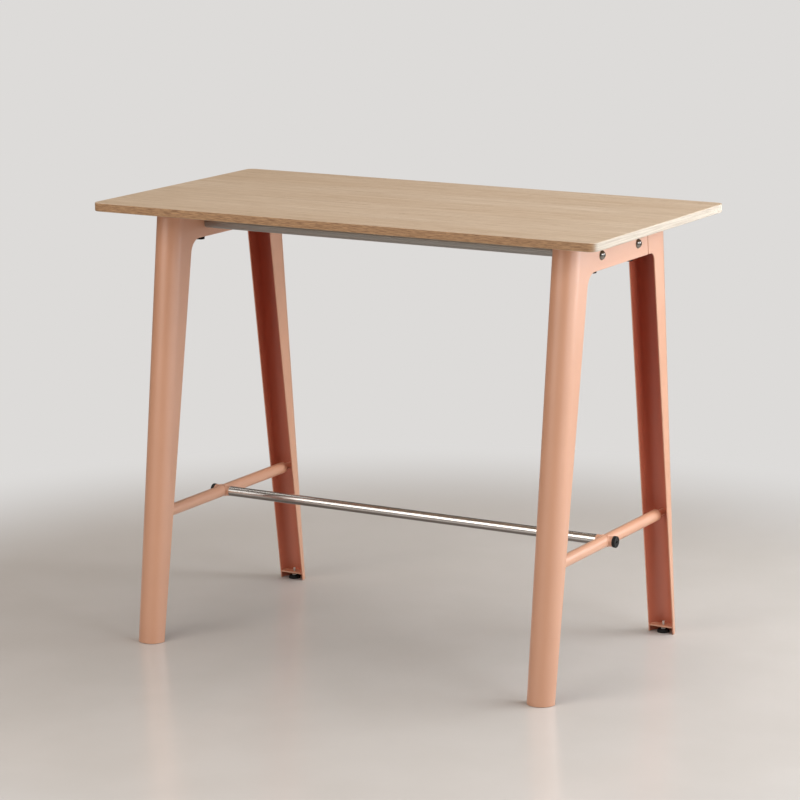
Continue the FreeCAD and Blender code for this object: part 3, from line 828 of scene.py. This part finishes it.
def cut_from(mesh, tool):
    """The first mesh less the second, by an exact Boolean."""
    piece, cutter = [bpy.data.objects.new(m.name, m) for m in (mesh, tool)]
    bpy.context.scene.collection.objects.link(piece)
    bpy.context.scene.collection.objects.link(cutter)
    boolean = piece.modifiers.new("cut", "BOOLEAN")
    boolean.object = cutter
    boolean.solver = "EXACT"
    boolean.operation = "DIFFERENCE"
    result = bpy.data.meshes.new_from_object(piece.evaluated_get(bpy.context.evaluated_depsgraph_get()))
    for used in (piece, cutter):
        bpy.data.objects.remove(used)
    return result


stud_low, stud_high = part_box("right_rear_foot_stud")
pad_low, pad_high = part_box("right_rear_foot_pad")
collar_low = pad_high.z + COLLAR_GAP
slot_tool = box_shell((-2 * STUD_RADIUS, -SLOT_WIDTH / 2, stud_high.z - SLOT_DEPTH),
                      (2 * STUD_RADIUS, SLOT_WIDTH / 2, stud_high.z + SLOT_DEPTH))
rod = mesh_of("rod", [skin(threaded_rod(stud_low.z + DISC_HEIGHT / 2, stud_high.z))])
slotted_rod = cut_from(rod, mesh_of("slot", [slot_tool]))
rod_shell = (points_of(slotted_rod), [list(face.vertices) for face in slotted_rod.polygons])
disc_rings = np.array([round_ring(DISC_RADIUS, stud_low.z + lift) for lift in (0.0, DISC_HEIGHT)])
stud_shells = [rod_shell, skin(collar_rings(collar_low, COLLAR_HEIGHT)), skin(disc_rings)]

# %% [markdown]
# The pad is turned too: a flat sole, a rim with ribs for the fingers, a coned top, and inside it the
# hollow that holds the stud's disc with a little play.

# %% Moulded pad
PAD_RIM = 0.0045
PAD_TOP_RADIUS = 0.012
PAD_RIBS = 30
PAD_RIB_DEPTH = 0.0005
PAD_RIB_START = 0.0011           # above the sole
PAD_RIB_END = 0.0006             # below the rim, and above it the shoulder
PAD_SOLE_EASE = 0.0005
PAD_SOLE_MARGIN = 0.0025
PAD_EASE = 0.0004
PAD_PLAY = 0.0003


def pad_rings(radius, height, disc_low):
    """From the middle of the sole, round a ribbed rim and a coned top, into the hollow for the disc."""
    hollow, floor = DISC_RADIUS + PAD_PLAY, disc_low - PAD_PLAY
    roof, bore = disc_low + DISC_HEIGHT + PAD_PLAY, STUD_RADIUS + PAD_PLAY
    plain = [(radius - PAD_SOLE_MARGIN, 0.0), (radius - PAD_SOLE_EASE, 0.0), (radius, PAD_SOLE_EASE)]
    ribbed = [(radius, z) for z in np.linspace(PAD_RIB_START, PAD_RIM - PAD_RIB_END, 4)]
    shoulder = [(radius, PAD_RIM), (radius - PAD_EASE, PAD_RIM + PAD_RIB_END),
                (PAD_TOP_RADIUS + PAD_EASE, height - PAD_EASE), (PAD_TOP_RADIUS - PAD_EASE / 2, height)]
    inside = [(bore + PAD_EASE, height), (bore, height - PAD_EASE), (bore, roof), (hollow, roof),
              (hollow, floor)]
    rings = [round_ring(*row) for row in plain]
    rings += [round_ring(*row, PAD_RIBS, PAD_RIB_DEPTH) for row in ribbed]
    return np.array(rings + [round_ring(*row) for row in shoulder + inside])


pad_radius = (pad_high.x - pad_low.x) / 2
pad_shells = [skin(pad_rings(pad_radius, pad_high.z, stud_low.z))]


def moved(shells, place):
    """Shells carried to a place."""
    return [(points + np.array(place), faces) for points, faces in shells]


for side_name in SIDES:
    for end_name in ENDS:
        foot = side_name + "_" + end_name
        foot_low, foot_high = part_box(foot + "_foot_pad")
        axis_place = ((foot_low.x + foot_high.x) / 2, (foot_low.y + foot_high.y) / 2, 0.0)
        stud_name, pad_name = foot + "_threaded_stud", foot + "_ribbed_pad"
        add_piece(stud_name, mesh_of(stud_name, moved(stud_shells, axis_place)), "zinc_steel",
                  foot + "_stud", foot + "_foot_stud")
        add_piece(pad_name, mesh_of(pad_name, moved(pad_shells, axis_place)), "black_plastic",
                  foot + "_pad", foot + "_foot_pad")

# %% [markdown]
# ## Weld beads
# The boss that takes the foot rail goes straight through the stretcher and is welded round on both
# sides. The bead follows the line where two cylinders meet. With R the stretcher's radius and r
# the boss's, the line is y = r cos a, z = r sin a, x = sqrt(R R - z z). A small round profile is
# carried along it, with ripples where the weld pool froze, and the paint covers it all.

# %% Beads round the bosses
BEAD_RADIUS = 0.0021
BEAD_STEPS = 320
BEAD_AROUND = 14
BEAD_CREASE = 60.0
RIPPLES = 44
RIPPLE_DEPTH = 0.07
TAPER_GAIN = 6.0                 # how soon an open bead is full
TAPER_LEAST = 0.15               # its size at the very end, before the root


def bead(path, radius, joined=True):
    """A rippled tube along a path: centre plus radius times the circle across the path's direction."""
    ahead = np.roll(path, -1, axis=0) - np.roll(path, 1, axis=0)
    if not joined:
        ahead[0], ahead[-1] = path[1] - path[0], path[-1] - path[-2]
    ahead /= np.linalg.norm(ahead, axis=1, keepdims=True)
    away = path - path.mean(axis=0)
    side = np.cross(ahead, away)
    side /= np.linalg.norm(side, axis=1, keepdims=True)
    third = np.cross(side, ahead)
    share = np.linspace(0.0, 1.0, len(path), endpoint=not joined)
    ripple = 1.0 - RIPPLE_DEPTH * np.abs(np.sin(np.pi * RIPPLES * share))
    taper = 1.0 if joined else np.clip(np.sin(np.pi * share) * TAPER_GAIN, TAPER_LEAST, 1.0) ** 0.5
    swing = np.linspace(0.0, 2.0 * np.pi, BEAD_AROUND, endpoint=False)
    reach = (radius * ripple * taper)[:, None, None]
    circle = np.cos(swing)[None, :, None] * side[:, None] + np.sin(swing)[None, :, None] * third[:, None]
    return skin(path[:, None] + reach * circle, joined)


def boss_bead_path(side_name, face):
    """Line where the boss leaves the stretcher, on its inner or its outer face."""
    boss_low, boss_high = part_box(side_name + "_stretcher_boss")
    bar_low, bar_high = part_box(side_name + "_stretcher")
    boss_radius, bar_radius = (boss_high.z - boss_low.z) / 2, (bar_high.z - bar_low.z) / 2
    middle = (boss_low + boss_high) / 2
    angle = np.linspace(0.0, 2.0 * np.pi, BEAD_STEPS, endpoint=False)
    y, z = boss_radius * np.cos(angle), boss_radius * np.sin(angle)
    x = face * np.sqrt(bar_radius ** 2 - z ** 2)
    return np.stack([middle.x + x, middle.y + y, middle.z + z], axis=-1)


# %% [markdown]
# The plate in each foot is welded inside the round nose of the leg with two short beads. They lie in
# the corner between the plate's upper face and the wall, and fade out at their ends.

# %% Beads in the feet, and all the beads of a trestle
FOOT_BEAD_RADIUS = 0.0016
FOOT_BEAD_IN = FOOT_BEAD_RADIUS / 4      # from the plate's rim in to the centre line
FOOT_BEAD_UP = FOOT_BEAD_RADIUS / 5      # from the plate's face up to the centre line
FOOT_BEAD_ANGLES = (8.0, 48.0)
FOOT_BEAD_STEPS = 90


def foot_bead_path(foot, end, face):
    """Arc r (cos a, sin a) in the corner of the plate and the round nose, on one side of the foot."""
    plate_low, plate_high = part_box(foot + "_foot_plate")
    nose_radius = (plate_high.x - plate_low.x) / 2
    outermost = plate_high.y if end > 0 else plate_low.y
    angle = np.radians(np.linspace(*FOOT_BEAD_ANGLES, FOOT_BEAD_STEPS))
    reach = nose_radius - FOOT_BEAD_IN
    x = (plate_low.x + plate_high.x) / 2 + face * reach * np.cos(angle)
    y = outermost - end * (nose_radius - reach * np.sin(angle))
    return np.stack([x, y, np.full(FOOT_BEAD_STEPS, plate_high.z + FOOT_BEAD_UP)], axis=-1)


for side_name in SIDES:
    beads = [bead(boss_bead_path(side_name, face), BEAD_RADIUS) for face in (-1, 1)]
    for end_name, end in ENDS.items():
        foot = side_name + "_" + end_name
        beads += [bead(foot_bead_path(foot, end, face), FOOT_BEAD_RADIUS, False) for face in (-1, 1)]
    beads_name = side_name + "_weld_beads"
    add_piece(beads_name, mesh_of(beads_name, beads, BEAD_CREASE), "leg_paint", "table")

# %% [markdown]
# ## The floor
# A pale, slightly glossy floor takes the shadows and a hint of the legs' reflection. Its tone fades
# from warm grey near the table to a paler grey further off, as where a floor meets a bright wall. It
# is see-through from below, so the underside of the table can be looked at too.

# %% Floor
FLOOR_HALF = 60.0
WALL_FADE = (1.15, 2.1)          # metres from the middle of the table
PALE_FLOOR, GREY_FLOOR, MOTTLE_FLOOR = colour(211, 204, 198), colour(201, 194, 188), colour(196, 189, 182)


def floor_finish():
    """A tone that fades with the distance from the table, and see-through from below."""
    floor = Finish("floor", Specular_IOR_Level=0.4)
    reach = floor.node("ShaderNodeVectorMath", {"operation": "LENGTH"}, {0: floor.place()}, out="Value")
    clouds = floor.noise((1.3, 1.3, 1.3), detail=4.0)
    mottle = floor.noise((5.0, 5.0, 5.0), detail=3.0).step(0.3, 0.7)
    trowelled = floor.mix(clouds, PALE_FLOOR, GREY_FLOOR)
    floor.feed("Base Color", floor.mix(mottle * 0.35, trowelled, MOTTLE_FLOOR))
    floor.feed("Roughness", 0.16 + 0.06 * clouds + 0.04 * mottle)
    wall = floor.node("ShaderNodeEmission", None, {"Color": WALL_COLOUR})
    solid = Wire(floor, floor.main.outputs["BSDF"])
    lit = floor.blend(reach.step(*WALL_FADE) * floor.ray("Is Camera Ray"), solid, wall)
    below = floor.node("ShaderNodeNewGeometry", out="Backfacing")
    shown = floor.blend(below, lit, floor.node("ShaderNodeBsdfTransparent"))
    floor.feed("Surface", shown, floor.tree.nodes["Material Output"])
    return floor.material


floor_corners = [(x * FLOOR_HALF, y * FLOOR_HALF, 0.0) for x, y in ((-1, -1), (1, -1), (1, 1), (-1, 1))]
floor_mesh = bpy.data.meshes.new("floor")
floor_mesh.from_pydata(floor_corners, [], [(0, 1, 2, 3)])
floor_mesh.materials.append(floor_finish())
floor = bpy.data.objects.new("floor", floor_mesh)
bpy.context.scene.collection.objects.link(floor)
print("floor", 2 * FLOOR_HALF, "m wide")
